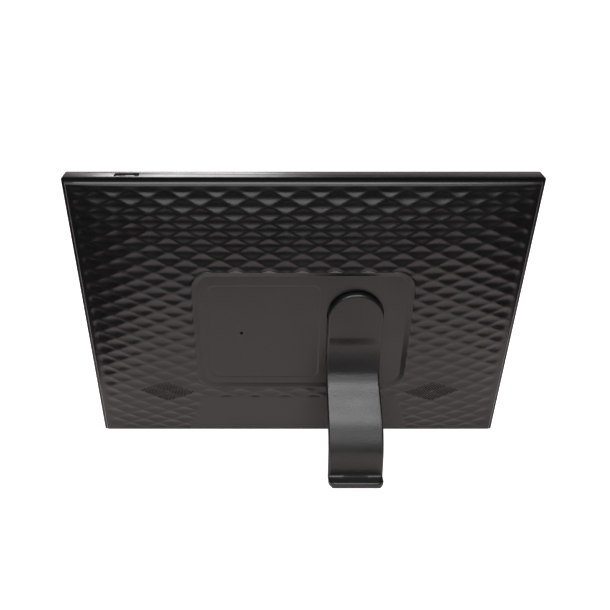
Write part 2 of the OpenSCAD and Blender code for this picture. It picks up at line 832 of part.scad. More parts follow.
module stand() {
  line = arm_line();
  sole = to_panel([foot_reach - foot_lip - arm_t, pad_out]);
  tip = [foot_reach, pad_out];
  inner = [for (i = [len(line) - 3:-1:2]) inner_point(line, i)];
  color(plastic) leaned() difference() {
    union() {
      translate([pivot_x, 0, pivot_h]) rotate([-90, 0, 0]) {
        translate([0, 0, v_disc]) rotate_extrude() {
          square([disc_r, v_face - v_disc - disc_edge_r]);
          square([disc_r - disc_edge_r, v_face - v_disc]);
          translate([disc_r - disc_edge_r, v_face - v_disc - disc_edge_r]) circle(disc_edge_r);
        }
        translate([0, 0, v_hub]) cylinder(h = v_disc - v_hub + cut, r = hub_r);
      }
      along_x(pivot_x - disc_r, pivot_x + disc_r) polygon(concat(
        [[dish_level + arm_clear, pivot_h - 2], [v_face, pivot_h - 2]],
        [for (p = line) to_panel(p)],
        [to_panel(tip + [0, foot_t - pad_out]), to_panel(tip), sole],
        inner
      ));
    }
    for (k = [0:2])
      rod(pivot_x + hub_screw_ring * cos(90 + 120 * k), pivot_h + hub_screw_ring * sin(90 + 120 * k),
        v_hub - cut, v_disc + 1.5, pilot_r);
    along_x(pivot_x - disc_r + 2, pivot_x + disc_r - 2) foot_pad_outline();
  }
}

// Outline of the foot's rubber pad, let into the sole.
module foot_pad_outline() {
  low = foot_reach - foot_lip - 2;
  high = foot_reach - 1;
  polygon([for (p = [[low, 0], [high, 0], [high, pad_t], [low, pad_t]]) to_panel(p)]);
}

module foot_pad() {
  color(rubber) leaned() along_x(pivot_x - disc_r + 2, pivot_x + disc_r - 2) foot_pad_outline();
}

module stand_washer() {
  color("#d9d4c2") leaned() difference() {
    rod(pivot_x, pivot_h, v_moat + face_gap, v_disc - face_gap, disc_r - 1);
    rod(pivot_x, pivot_h, v_boss, v_face, hub_r + 0.4);
  }
}

module stand_retainer() {
  color(steel) leaned() difference() {
    union() {
      rod(pivot_x, pivot_h, v_retainer, v_hub, retainer_r);
      block([pivot_x - lug_w / 2, v_retainer, pivot_h + retainer_r - 2],
        [pivot_x + lug_w / 2, v_hub, pivot_h + lug_reach]);
    }
    for (k = [0:2])
      rod(pivot_x + hub_screw_ring * cos(90 + 120 * k), pivot_h + hub_screw_ring * sin(90 + 120 * k),
        v_retainer - cut, v_hub + cut, screw_hole_r);
  }
}

module retainer_screws() {
  color(steel) leaned() for (k = [0:2])
    screw(pivot_x + hub_screw_ring * cos(90 + 120 * k), pivot_h + hub_screw_ring * sin(90 + 120 * k),
      v_retainer - screw_head_t, v_disc + 1.3);
}

module base_pads() {
  color(rubber) leaned() for (sx = [-1, 1])
    block([sx * pad_x - pad_l / 2, v_pad, -pad_out],
      [sx * pad_x + pad_l / 2, v_pad + pad_w, pad_t - pad_out]);
}

front_bezel();
touch_glass();
lcd_panel();
backlight_unit();
display_brackets();
bracket_screws();
rear_cover();
main_board();
processor();
memory_chips();
thermal_pad();
shield_can();
wifi_module();
wifi_antenna();
antenna_cable();
board_connectors();
board_screws();
display_ribbon();
touch_ribbon();
speaker_left();
speaker_right();
speaker_cones();
speaker_gaskets();
speaker_screws();
speaker_wires();
button_board();
button_board_screws();
button_wires();
power_switch();
power_button();
power_plunger();
reset_switch();
reset_plunger();
power_inlet();
card_socket();
stand();
stand_washer();
stand_retainer();
retainer_screws();
foot_pad();
base_pads();
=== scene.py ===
"""Looks of a ten-inch digital photo frame on a swivelling stand, laid out as an add-on.

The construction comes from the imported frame. Here the quilted rear cover, the rounded bezel and the
swept stand are modelled over it, every piece gets its finish, and the stage is set.
"""
import json
import math

import bmesh
import bpy
from bpy.props import FloatProperty, FloatVectorProperty, IntProperty, PointerProperty
from mathutils import Matrix, Vector


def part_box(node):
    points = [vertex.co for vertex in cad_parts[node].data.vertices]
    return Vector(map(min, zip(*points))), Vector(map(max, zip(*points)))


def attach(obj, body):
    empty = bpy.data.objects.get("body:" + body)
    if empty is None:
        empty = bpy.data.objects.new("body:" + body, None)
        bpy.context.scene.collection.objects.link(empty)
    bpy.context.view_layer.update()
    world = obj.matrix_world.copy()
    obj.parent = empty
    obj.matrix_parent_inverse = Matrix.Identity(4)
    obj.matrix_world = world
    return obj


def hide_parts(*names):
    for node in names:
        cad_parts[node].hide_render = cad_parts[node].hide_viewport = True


bl_info = {
    "name": "Digital photo frame",
    "version": (1, 0, 0),
    "blender": (4, 5, 0),
    "location": "View3D > Sidebar > Photo frame",
    "description": "Models the cover, bezel and stand of a digital photo frame and sets their finishes",
    "category": "Object",
}

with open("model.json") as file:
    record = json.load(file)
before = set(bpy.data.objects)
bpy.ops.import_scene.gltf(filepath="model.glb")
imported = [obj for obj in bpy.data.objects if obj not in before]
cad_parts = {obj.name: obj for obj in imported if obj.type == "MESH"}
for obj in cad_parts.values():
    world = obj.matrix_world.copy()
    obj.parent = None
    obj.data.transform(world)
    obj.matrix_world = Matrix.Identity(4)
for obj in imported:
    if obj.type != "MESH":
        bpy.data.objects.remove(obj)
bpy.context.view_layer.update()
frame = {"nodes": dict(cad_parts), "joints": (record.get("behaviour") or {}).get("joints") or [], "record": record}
MM = 0.001

JOINTS = {joint["name"]: joint for joint in frame["joints"]}
SWIVEL = JOINTS["stand_swivel"]
LEAN = math.atan2(-SWIVEL["axis"][2], SWIVEL["axis"][1])
BEZEL_LOW, BEZEL_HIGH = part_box("front_bezel")


def panel_sizes():
    """Depth of the rim and height of the panel, from the leaning bezel's box."""
    deep = BEZEL_HIGH.y - BEZEL_LOW.y
    tall = BEZEL_HIGH.z - BEZEL_LOW.z
    spread = math.cos(LEAN) ** 2 - math.sin(LEAN) ** 2
    rim = (deep * math.cos(LEAN) - tall * math.sin(LEAN)) / spread
    height = (tall * math.cos(LEAN) - deep * math.sin(LEAN)) / spread
    return rim, height


RIM_DEPTH, FRAME_H = panel_sizes()
FRAME_W = BEZEL_HIGH.x - BEZEL_LOW.x
# Panel space has x across, y out of the back and z up the panel, from the middle of the lower rear edge.
PANEL_ORIGIN = Vector((0, BEZEL_LOW.y + RIM_DEPTH * math.cos(LEAN), BEZEL_LOW.z))
PANEL = Matrix.Translation(PANEL_ORIGIN) @ Matrix.Rotation(-LEAN, 4, "X")
PIVOT = PANEL.inverted() @ Vector(SWIVEL["pos_m"])


def length(name, description, default):
    return FloatProperty(name=name, description=description, default=default, unit="LENGTH", precision=4)


def colour(name, description, default):
    return FloatVectorProperty(name=name, description=description, default=default, subtype="COLOR", size=3)


class CoverSettings(bpy.types.PropertyGroup):
    """Sizes of the quilted rear cover."""

    margin: length("Margin", "Width of the rim that shows round the cover", 1.9 * MM)
    step: length("Step", "Height of the cover's edge above the rim", 3 * MM)
    crown: length("Crown", "Rise from the cover's edge to its middle", 10 * MM)
    edge_radius: length("Edge radius", "Radius along the cover's edge", 1.2 * MM)
    skirt: length("Skirt", "Depth of the cover's skirt below the rim's back", 1.2 * MM)
    wall: length("Wall", "Thickness of the cover's wall", 2 * MM)
    dimple_w: length("Dimple width", "Width of one dimple of the quilt", FRAME_W / 14)
    dimple_h: length("Dimple height", "Height of one dimple of the quilt", 8.7 * MM)
    dimple_depth: length("Dimple depth", "Depth of a dimple at its middle", 0.8 * MM)
    dimple_cuts: IntProperty(name="Dimple cuts", description="Mesh cells up one dimple", default=10)
    dish_w: length("Dish width", "Width of the dish", 128.4 * MM)
    dish_h: length("Dish height", "Height of the dish", 83 * MM)
    dish_radius: length("Dish radius", "Corner radius of the dish", 11 * MM)
    dish_level: length("Dish level", "Level of the dish floor above the rim", 10.5 * MM)
    dish_ramp: length("Dish ramp", "Width of the dish's sloping wall", 3 * MM)
    dish_side: length("Dish side", "Distance from the swivel to the dish's near end", 33 * MM)
    dish_drop: length("Dish drop", "Distance of the dish's middle below the swivel", 12 * MM)
    label_shift: length("Label shift", "Distance of the label's middle from the dish's, towards the left end",
                        22.8 * MM)
    label_drop: length("Label drop", "Distance of the label's middle below the dish's", 1 * MM)
    label_side: length("Label side", "Side of the square label recess", 66.5 * MM)
    label_depth: length("Label depth", "Depth of the label recess", 0.3 * MM)
    label_radius: length("Label radius", "Corner radius of the label recess", 5 * MM)
    moat_radius: length("Moat radius", "Radius of the round recess that the disc turns in", 16.8 * MM)
    moat_depth: length("Moat depth", "Depth of the round recess", 1 * MM)
    pinhole_radius: length("Pinhole radius", "Radius of the reset hole", 1.1 * MM)
    pinhole_shift: length("Pinhole shift", "Distance of the reset hole from the label's middle", 13.6 * MM)
    plain_half: length("Plain field", "Half the width of the smooth field along the lower edge", 73.6 * MM)
    plain_height: length("Plain height", "Height of the smooth field below the dish", 36 * MM)
    plain_slope: FloatProperty(name="Plain slope", description="Sideways run of the smooth field's sides",
                               default=0.33)
    speaker_x: length("Speaker place", "Distance of the grilles from the middle line", 4.5 * FRAME_W / 14)
    speaker_z: length("Speaker height", "Height of the grilles above the lower edge", 40.6 * MM)
    sound_hole: length("Sound hole", "Width of a sound hole", 0.85 * MM)


class StandSettings(bpy.types.PropertyGroup):
    """Sizes of the stand."""

    disc_radius: length("Disc radius", "Radius of the disc and half the width of the arm", 16.2 * MM)
    face_level: length("Face level", "Level of the disc's face above the rim", 14.8 * MM)
    disc_level: length("Disc level", "Level of the disc's underside above the rim", 9.8 * MM)
    thickness: length("Thickness", "Thickness of the arm", 4 * MM)
    clearance: length("Clearance", "Gap between the arm and the cover", 0.5 * MM)
    reach: length("Reach", "Distance of the foot's tip behind the frame's lower edge", 72 * MM)
    lip: length("Lip", "Length of the foot's lip", 8 * MM)
    lip_height: length("Lip height", "Height of the lip's top", 4 * MM)
    sole_height: length("Sole height", "Height of the sole above the table", 0.5 * MM)
    edge_radius: length("Edge radius", "Rounding along the edges of the stand", 1.2 * MM)
    corner_radius: length("Corner radius", "Radius of the foot's two corners", 4 * MM)


class FinishSettings(bpy.types.PropertyGroup):
    """Colours of the finishes."""

    cover: colour("Cover", "Colour of the quilted cover", (0.0042, 0.0039, 0.0043))
    bezel: colour("Bezel", "Colour of the bezel and the button", (0.0046, 0.0045, 0.0048))
    stand: colour("Stand", "Colour of the stand", (0.0050, 0.0046, 0.0045))
    glass: colour("Glass", "Colour of the printed border behind the glass", (0.003, 0.003, 0.0035))
    screen: colour("Screen", "Colour of the unlit display", (0.010, 0.011, 0.014))
    rubber: colour("Rubber", "Colour of the rubber pads", (0.022, 0.022, 0.022))


class StageSettings(bpy.types.PropertyGroup):
    """Camera and light."""

    camera_x: length("Camera side", "Camera's distance to the side", 14.1 * MM)
    camera_out: length("Camera distance", "Camera's distance out from the panel", 347 * MM)
    camera_up: length("Camera height", "Camera's height along the panel", 319 * MM)
    camera_pitch: FloatProperty(name="Camera pitch", description="Downward tilt of the camera",
                                default=math.radians(18.31), subtype="ANGLE")
    focal_length: FloatProperty(name="Focal length", description="Focal length in millimetres", default=40.2)
    lens_shift: FloatProperty(name="Lens shift", description="Sideways shift of the lens", default=0.0454)
    softbox_strength: FloatProperty(name="Softbox strength", description="Radiance of the softboxes",
                                    default=7.0)


class FrameSettings(bpy.types.PropertyGroup):
    """All settings of the photo frame."""

    cover: PointerProperty(type=CoverSettings)
    stand: PointerProperty(type=StandSettings)
    finish: PointerProperty(type=FinishSettings)
    stage: PointerProperty(type=StageSettings)


# ---------------------------------------------------------------- helpers

def clamp(value, low, high):
    return max(low, min(high, value))


def ease(value, low, high):
    """0 below low, 1 above high, and a smooth rise between them."""
    t = clamp((value - low) / (high - low), 0.0, 1.0)
    return t * t * (3 - 2 * t)


def rounded_box_distance(x, z, half_w, half_h, radius):
    """Distance from a rounded rectangle's outline, negative inside it."""
    qx = abs(x) - half_w + radius
    qz = abs(z) - half_h + radius
    outside = math.hypot(max(qx, 0), max(qz, 0))
    return outside + min(max(qx, qz), 0) - radius


def add_object(name, mesh_or_bmesh, material, smooth_angle=None):
    """Links a finished mesh at the origin, with its material and smooth shading."""
    mesh = mesh_or_bmesh
    if isinstance(mesh_or_bmesh, bmesh.types.BMesh):
        mesh = bpy.data.meshes.new(name)
        mesh_or_bmesh.to_mesh(mesh)
        mesh_or_bmesh.free()
    piece = bpy.data.objects.new(name, mesh)
    bpy.context.scene.collection.objects.link(piece)
    mesh.materials.clear()
    mesh.materials.append(material)
    if smooth_angle is None:
        mesh.shade_smooth()
    else:
        shade_by_angle(mesh, smooth_angle)
    return piece


def shade_by_angle(mesh, angle):
    """Smooth shading that keeps edges sharper than an angle."""
    mesh.shade_smooth()
    mesh.set_sharp_from_angle(angle=angle)


def baked(piece):
    """Applies the modifiers of a piece to its mesh."""
    graph = bpy.context.evaluated_depsgraph_get()
    mesh = bpy.data.meshes.new_from_object(piece.evaluated_get(graph))
    piece.modifiers.clear()
    piece.data = mesh
    return piece


# ---------------------------------------------------------------- finishes

class Nodes:
    """A short way to build one node material."""

    def __init__(self, name):
        self.material = bpy.data.materials.new(name)
        self.material.use_nodes = True
        self.tree = self.material.node_tree
        self.shader = self.tree.nodes["Principled BSDF"]
        self.place = self.tree.nodes.new("ShaderNodeTexCoord").outputs["Object"]

    def link(self, source, target):
        self.tree.links.new(source, target)

    def noise(self, scale, detail=3.0, roughness=0.5, stretch=None):
        node = self.tree.nodes.new("ShaderNodeTexNoise")
        node.inputs["Scale"].default_value = scale
        node.inputs["Detail"].default_value = detail
        node.inputs["Roughness"].default_value = roughness
        place = self.place
        if stretch is not None:
            mapping = self.tree.nodes.new("ShaderNodeMapping")
            mapping.inputs["Scale"].default_value = stretch
            self.link(place, mapping.inputs["Vector"])
            place = mapping.outputs["Vector"]
        self.link(place, node.inputs["Vector"])
        return node.outputs["Fac"]

    def spread(self, value, low, high, to_low, to_high):
        node = self.tree.nodes.new("ShaderNodeMapRange")
        for socket, number in zip(("From Min", "From Max", "To Min", "To Max"), (low, high, to_low, to_high)):
            node.inputs[socket].default_value = number
        self.link(value, node.inputs["Value"])
        return node.outputs["Result"]

    def tint(self, value, dark, light):
        node = self.tree.nodes.new("ShaderNodeValToRGB")
        node.color_ramp.elements[0].color = (*dark, 1)
        node.color_ramp.elements[1].color = (*light, 1)
        node.color_ramp.elements[0].position = 0.3
        node.color_ramp.elements[1].position = 0.7
        self.link(value, node.inputs["Fac"])
        self.link(node.outputs["Color"], self.shader.inputs["Base Color"])

    def bump(self, value, height, strength=1.0):
        node = self.tree.nodes.new("ShaderNodeBump")
        node.inputs["Distance"].default_value = height
        node.inputs["Strength"].default_value = strength
        self.link(value, node.inputs["Height"])
        self.link(node.outputs["Normal"], self.shader.inputs["Normal"])

    def roughness(self, value):
        self.link(value, self.shader.inputs["Roughness"])

    def set(self, **sockets):
        for name, number in sockets.items():
            self.shader.inputs[name.replace("_", " ")].default_value = number


def shaded(base, factor):
    return tuple(channel * factor for channel in base)


def moulded_plastic(name, base, roughness, grain_size, grain_height):
    """Spark-eroded plastic: fine grain, and a little wear in its gloss."""
    made = Nodes(name)
    made.tint(made.noise(14, 4), shaded(base, 0.9), shaded(base, 1.1))
    made.roughness(made.spread(made.noise(45, 5), 0.3, 0.7, roughness - 0.03, roughness + 0.04))
    made.bump(made.noise(1 / grain_size, 2), grain_height)
    made.set(IOR=1.53)
    return made.material


def soft_rubber(name, base):
    made = Nodes(name)
    made.tint(made.noise(60), shaded(base, 0.8), shaded(base, 1.25))
    made.roughness(made.spread(made.noise(300), 0.3, 0.7, 0.72, 0.88))
    made.bump(made.noise(2500, 2), 0.05 * MM)
    return made.material


def sheet_metal(name, base, roughness):
    made = Nodes(name)
    made.tint(made.noise(30), shaded(base, 0.9), base)
    brushing = made.noise(400, stretch=(0.05, 1, 1))
    made.roughness(made.spread(brushing, 0.3, 0.7, roughness - 0.06, roughness + 0.08))
    made.bump(made.noise(1500, stretch=(0.05, 1, 1)), 0.01 * MM)
    made.set(Metallic=1.0)
    return made.material


def plain_finish(name, base, roughness, grain=900):
    """A small inner piece: even colour with slight mottling."""
    made = Nodes(name)
    made.tint(made.noise(grain / 6), shaded(base, 0.85), shaded(base, 1.08))
    made.roughness(made.spread(made.noise(grain), 0.3, 0.7, roughness - 0.05, roughness + 0.05))
    made.bump(made.noise(grain * 2, 2), 0.01 * MM)
    return made.material


# ---------------------------------------------------------------- rear cover

POWER_ACROSS = 3.5       # how late the crown falls off towards the sides
POWER_UP = 2.8           # the same towards the top and bottom
CORNER_FULLNESS = 1.5    # fills the crown out a little towards the corners
LABEL_STEP = 0.5 * MM    # width of the step round the label recess
MOAT_STEP = 0.4 * MM     # width of the wall round the moat
PINHOLE_DEPTH = 1.6 * MM
SOUND_HOLE_DEPTH = 2.2 * MM
SOUND_HOLE_CORNER = 0.21 * MM
GRILLE_EYE = 0.09        # closed spot in the grille's middle, in dimples
GRILLE_REACH = 0.93      # reach of the grille's diamond, in dimples
# Rings of the hollow behind the cover: distance further in, and level above the rim's back
HOLLOW_RINGS = ((0.2 * MM, 0), (14 * MM, 3.6 * MM), (24 * MM, 7 * MM))

class CoverShape:
    """Height of the cover's outer surface over the panel, and the outlines drawn in it."""

    def __init__(self, sizes):
        self.s = sizes
        self.half_w = FRAME_W / 2 - sizes.margin
        self.half_h = FRAME_H / 2 - sizes.margin
        self.mid_z = FRAME_H / 2
        self.dish_x = PIVOT.x + sizes.dish_w / 2 - sizes.dish_side
        self.dish_z = PIVOT.z - sizes.dish_drop
        self.label_x = self.dish_x + sizes.label_shift
        self.label_z = self.dish_z - sizes.label_drop
        self.reset = self.label_x + sizes.pinhole_shift, self.label_z

    def dish(self, x, z):
        s = self.s
        return rounded_box_distance(
            x - self.dish_x, z - self.dish_z, s.dish_w / 2, s.dish_h / 2, s.dish_radius)

    def label(self, x, z):
        half = self.s.label_side / 2
        return rounded_box_distance(x - self.label_x, z - self.label_z, half, half, self.s.label_radius)

    def moat(self, x, z):
        return math.hypot(x - PIVOT.x, z - PIVOT.z) - self.s.moat_radius

    def plain_field(self, x, z):
        """Distance from the smooth trapezoid below the dish, negative inside it."""
        s = self.s
        side = (abs(x) - s.plain_half + s.plain_slope * z) / math.hypot(1, s.plain_slope)
        return max(side, z - s.plain_height)

    def edge_distance(self, x, z):
        return min(self.half_w - abs(x), self.half_h - abs(z - self.mid_z))

    def crown(self, x, z):
        s = self.s
        across = clamp(abs(x) / self.half_w, 0, 1) ** POWER_ACROSS
        up = clamp(abs(z - self.mid_z) / self.half_h, 0, 1) ** POWER_UP
        level = s.step + s.crown * (1 - across) * (1 - up) * (1 + CORNER_FULLNESS * across * up)
        short = max(0.0, s.edge_radius - self.edge_distance(x, z))
        short = min(short, s.edge_radius)
        return level - s.edge_radius + math.sqrt(s.edge_radius ** 2 - short ** 2)

    def lattice(self, x, z):
        """Place in the diamond lattice, counted along its two families of ridges."""
        s = self.s
        a = x / s.dimple_w - 0.5
        b = (z - s.speaker_z) / s.dimple_h
        return a + b, b - a

    def dimple(self, x, z):
        u, w = self.lattice(x, z)
        f, g = u - math.floor(u), w - math.floor(w)
        depth = self.s.dimple_depth * 16 * f * (1 - f) * g * (1 - g)
        depth *= ease(self.edge_distance(x, z), 2.2 * MM, 5.5 * MM)
        depth *= ease(self.plain_field(x, z), 0, 1.2 * MM)
        return depth

    def level(self, x, z):
        s = self.s
        dish = self.dish(x, z)
        base = self.crown(x, z)
        if dish > 0:
            return base - self.dimple(x, z) * ease(dish, 0, 0.8 * MM)
        floor = s.dish_level - s.label_depth * ease(-self.label(x, z), 0, LABEL_STEP)
        if self.moat(x, z) < 0:
            floor = s.dish_level - s.moat_depth * ease(-self.moat(x, z), 0, MOAT_STEP)
        share = clamp(-dish / s.dish_ramp, 0, 1)
        return base + (floor - base) * share


def edges_near(bm, distance, low, high):
    """Edges with a point whose distance from an outline lies between low and high."""
    near = {v for v in bm.verts if low < distance(v.co.x, v.co.z) < high}
    return [e for e in bm.edges if e.verts[0] in near or e.verts[1] in near]


def snap_to(bm, distance, level, reach):
    """Moves the points nearest to an outline onto it, so that it runs along edges."""
    step = 0.01 * MM
    for v in bm.verts:
        off = distance(v.co.x, v.co.z) - level
        if abs(off) > reach:
            continue
        slope = Vector((
            distance(v.co.x + step, v.co.z) - distance(v.co.x - step, v.co.z), 0,
            distance(v.co.x, v.co.z + step) - distance(v.co.x, v.co.z - step)))
        if slope.length > 0:
            v.co -= slope.normalized() * off


def cover_sheet(shape):
    """A flat grid over the cover whose lines run through the crossings of the quilt's ridges."""
    s = shape.s
    cell_x = s.dimple_w / (2 * s.dimple_cuts)
    cell_z = s.dimple_h / s.dimple_cuts
    columns = 2 * math.ceil(shape.half_w / cell_x)
    low = math.floor((shape.mid_z - shape.half_h - s.speaker_z) / cell_z)
    high = math.ceil((shape.mid_z + shape.half_h - s.speaker_z) / cell_z)
    bm = bmesh.new()
    bmesh.ops.create_grid(bm, x_segments=columns, y_segments=high - low, size=0.5)
    for v in bm.verts:
        x = v.co.x * columns * cell_x
        z = s.speaker_z + (low + (v.co.y + 0.5) * (high - low)) * cell_z
        v.co = Vector((clamp(x, -shape.half_w, shape.half_w), 0,
                       clamp(z, shape.mid_z - shape.half_h, shape.mid_z + shape.half_h)))
    return bm


def refine_outlines(bm, shape):
    """Finer cells along the dish, the label recess and the moat, with their lines on edges."""
    s = shape.s
    cell = s.dimple_h / s.dimple_cuts
    bands = (
        (shape.dish, -s.dish_ramp - cell, cell), (shape.label, -1.2 * cell, 0.8 * cell),
        (shape.moat, -1.2 * cell, 0.8 * cell))
    for distance, low, high in bands:
        bmesh.ops.subdivide_edges(bm, edges=edges_near(bm, distance, low, high), cuts=1, use_grid_fill=True)
    fine = 0.26 * cell
    for distance, level in (
            (shape.dish, 0), (shape.dish, -s.dish_ramp), (shape.label, 0), (shape.label, -LABEL_STEP),
            (shape.moat, 0), (shape.moat, -MOAT_STEP)):
        snap_to(bm, distance, level, fine)


def pierce(bm, faces, inset):
    """Turns each face into a small blind hole with its corners cut."""
    bmesh.ops.inset_individual(bm, faces=faces, thickness=inset, use_even_offset=True)
    for f in faces:
        f.material_index = 1
    corners = list({v for f in faces for v in f.verts})
    bmesh.ops.bevel(bm, geom=corners, affect="VERTICES", offset=SOUND_HOLE_CORNER,
                     segments=1, profile=0.5, material=-1)
    holes = [f for f in bm.faces if f.material_index == 1 and len(f.verts) == 8]
    sunk = bmesh.ops.extrude_discrete_faces(bm, faces=holes)["faces"]
    for f in sunk:
        for v in f.verts:
            v.co.y -= SOUND_HOLE_DEPTH
    for f in bm.faces:
        f.material_index = 0


def sound_hole_faces(bm, shape):
    """Every second cell of the diamond round each grille's middle."""
    s = shape.s
    chosen = []
    cell_x = s.dimple_w / (2 * s.dimple_cuts)
    cell_z = s.dimple_h / s.dimple_cuts
    for f in bm.faces:
        c = f.calc_center_median()
        across = (abs(c.x) - s.speaker_x) / s.dimple_w
        up = (c.z - s.speaker_z) / s.dimple_h
        ring = abs(across) + abs(up)
        column = math.floor((abs(c.x) - s.speaker_x) / cell_x)
        row = math.floor((c.z - s.speaker_z) / cell_z)
        if GRILLE_EYE < ring < GRILLE_REACH and (column + row) % 2 == 0:
            chosen.append(f)
    return chosen


def pinhole(bm, shape):
    """Opens the reset hole: the cells round one point become a round blind hole."""
    s = shape.s
    x, z = shape.reset
    centre = min(bm.verts, key=lambda v: (v.co.x - x) ** 2 + (v.co.z - z) ** 2)
    rim = {v for f in centre.link_faces for v in f.verts if v is not centre}
    bmesh.ops.dissolve_verts(bm, verts=[centre])
    for v in rim:
        out = Vector((v.co.x - x, 0, v.co.z - z))
        out = out.normalized() * s.pinhole_radius
        v.co = Vector((x + out.x, v.co.y, z + out.z))
    hole = max((f for f in bm.faces if all(v in rim for v in f.verts)), key=lambda f: f.calc_area())
    extruded = bmesh.ops.extrude_discrete_faces(bm, faces=[hole])
    for v in extruded["faces"][0].verts:
        v.co.y -= PINHOLE_DEPTH


def close_back(bm, shape):
    """Adds the skirt and a plain hollow behind the quilted sheet."""
    s = shape.s
    border = [e for e in bm.edges if e.is_boundary]
    for v in {v for e in border for v in e.verts}:
        v.co.y = min(v.co.y, s.step - s.edge_radius)
    inset = 0
    for extra, level in ((0, -s.skirt), (s.wall, -s.skirt), *HOLLOW_RINGS):
        made = bmesh.ops.extrude_edge_only(bm, edges=border)["geom"]
        border = [g for g in made if isinstance(g, bmesh.types.BMEdge) and g.is_boundary]
        old = 1 - inset / shape.half_w, 1 - inset / shape.half_h
        inset += extra
        now = 1 - inset / shape.half_w, 1 - inset / shape.half_h
        for v in [g for g in made if isinstance(g, bmesh.types.BMVert)]:
            v.co.x *= now[0] / old[0]
            v.co.z = shape.mid_z + (v.co.z - shape.mid_z) * now[1] / old[1]
            v.co.y = level
    bmesh.ops.contextual_create(bm, geom=border)


class PHOTO_FRAME_OT_rear_cover(bpy.types.Operator):
    """Model the quilted rear cover with its dish, label recess, pinhole and sound holes"""

    bl_idname = "photo_frame.rear_cover"
    bl_label = "Rear cover"

    def execute(self, context):
        settings = context.scene.photo_frame
        shape = CoverShape(settings.cover)
        bm = cover_sheet(shape)
        refine_outlines(bm, shape)
        for v in bm.verts:
            v.co.y = shape.level(v.co.x, v.co.z)
        pinhole(bm, shape)
        cell = settings.cover.dimple_h / settings.cover.dimple_cuts
        holes = sound_hole_faces(bm, shape)
        pierce(bm, holes, (cell - settings.cover.sound_hole) / 2)
        close_back(bm, shape)
        bmesh.ops.recalc_face_normals(bm, faces=bm.faces)
        bm.transform(PANEL)
        plastic = moulded_plastic("quilted_plastic", settings.finish.cover, 0.32, 1.0 * MM, 0.02 * MM)
        cover = add_object("quilted_cover", bm, plastic, math.radians(38))
        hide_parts("rear_cover")
        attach(cover, "housing")
        return {"FINISHED"}


# ---------------------------------------------------------------- bezel and button

def rounded_copy(node, name, radius, material):
    """A copy of a CAD node with its flat faces joined up and its edges rounded."""
    bm = bmesh.new()
    bm.from_mesh(frame["nodes"][node].data)
    bmesh.ops.remove_doubles(bm, verts=bm.verts, dist=0.002 * MM)
    bmesh.ops.dissolve_limit(bm, angle_limit=math.radians(0.5), verts=bm.verts, edges=bm.edges)
    piece = add_object(name, bm, material, math.radians(30))
    bevel = piece.modifiers.new("Rounded edges", "BEVEL")
    bevel.width = radius
    bevel.segments = 3
    bevel.limit_method = "ANGLE"
    bevel.angle_limit = math.radians(40)
    baked(piece)
    shade_by_angle(piece.data, math.radians(40))
    return piece


class PHOTO_FRAME_OT_bezel(bpy.types.Operator):
    """Round the edges of the bezel and of the power button"""

    bl_idname = "photo_frame.bezel"
    bl_label = "Bezel and button"

    def execute(self, context):
        finish = context.scene.photo_frame.finish
        plastic = moulded_plastic("bezel_plastic", finish.bezel, 0.3, 0.3 * MM, 0.008 * MM)
        bezel = rounded_copy("front_bezel", "rounded_bezel", 0.35 * MM, plastic)
        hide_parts("front_bezel")
        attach(bezel, "housing")
        button = rounded_copy("power_button", "rounded_power_button", 0.25 * MM, plastic)
        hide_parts("power_button")
        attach(button, "power_button")
        return {"FINISHED"}


# ---------------------------------------------------------------- stand

def smooth_line(points, steps):
    """A smooth curve through points, with a few steps between each pair."""
    line = []
    for i in range(len(points) - 1):
        a, b, c = points[max(i - 1, 0)], points[i], points[i + 1]
        d = points[min(i + 2, len(points) - 1)]
        for k in range(steps):
            t = k / steps
            line.append(0.5 * (2 * b + t * (c - a) + t * t * (2 * a - 5 * b + 4 * c - d)
                               + t ** 3 * (3 * b - a - 3 * c + d)))
    return line + [points[-1]]


FACE_DROP = 9.7 * MM     # where the disc's flat face ends, below the pivot
BEND_DROP = 13 * MM      # first point of the arm's curve, below the pivot
DISH_REACH = 28 * MM     # how far below the pivot the arm lies over the dish
DISH_FLOOR = 10.5 * MM   # levels that the arm's inner side stays clear of
COVER_TOP = 12.5 * MM
FACE_STEPS = 26
COLUMNS, ROWS = 44, 150  # mesh cells across and along the stand


